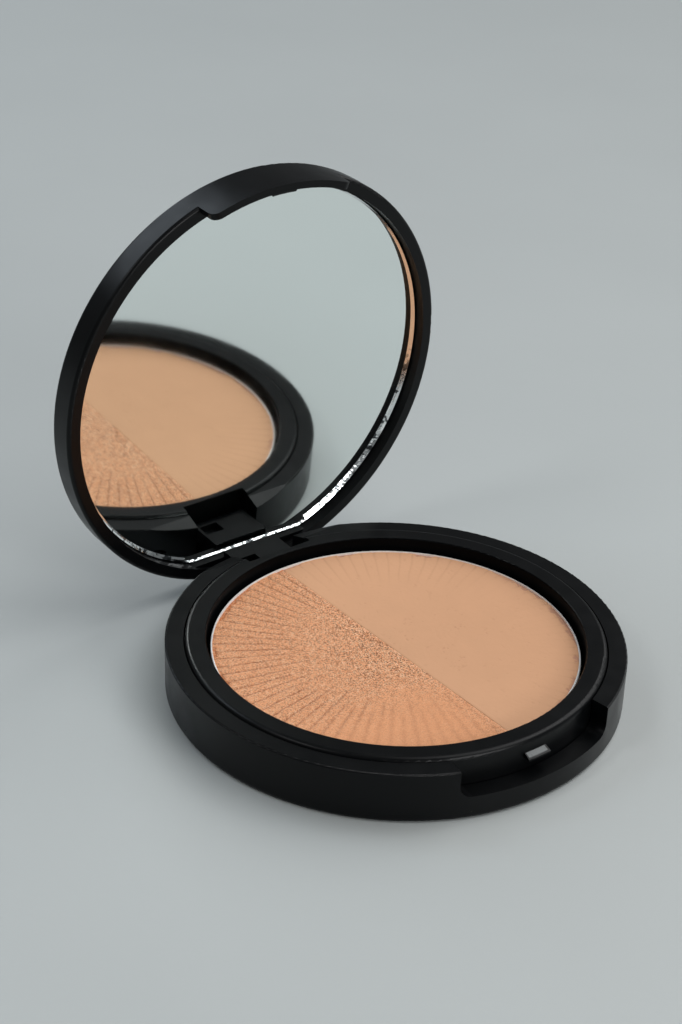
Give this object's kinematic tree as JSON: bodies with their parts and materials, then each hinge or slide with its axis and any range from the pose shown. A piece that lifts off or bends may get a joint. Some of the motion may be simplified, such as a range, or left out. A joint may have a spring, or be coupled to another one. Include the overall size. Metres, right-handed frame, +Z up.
{
  "type": "powder compact",
  "caption": "Round black compact with a hinged mirror lid, a pan of split-shade pressed powder and a thumb notch at the front.",
  "frame": {"origin": "centre of the base's underside, where the case stands on the table", "axes": "+Z up out of the base; the thumb notch faces -Y and the hinge is at +Y, its pin along X"},
  "size_m": [0.0734, 0.0809, 0.0749],
  "materials": {
    "case_plastic": "satin",
    "pan_metal": "polished",
    "glue": "matte",
    "powder_tan": "matte",
    "powder_coral": "satin",
    "label_paper": "matte",
    "pin_steel": "satin",
    "mirror_glass": "gloss"
  },
  "bodies": {
    "base": {"base_shell": "case_plastic", "pan_bezel": "case_plastic", "powder_pan": "pan_metal", "pan_adhesive": "glue", "matte_powder": "powder_tan", "shimmer_powder": "powder_coral", "base_label": "label_paper", "hinge_pin": "pin_steel"},
    "lid": {"lid_shell": "case_plastic", "lid_mirror": "mirror_glass", "mirror_adhesive": "glue"}
  },
  "joints": [
    {"name": "lid_hinge", "type": "hinge", "parent": "base", "child": "lid", "pos_m": [0, 0.03415, 0.0036], "axis": [1, 0, 0], "range_deg": [0, 86.8]}
  ]
}
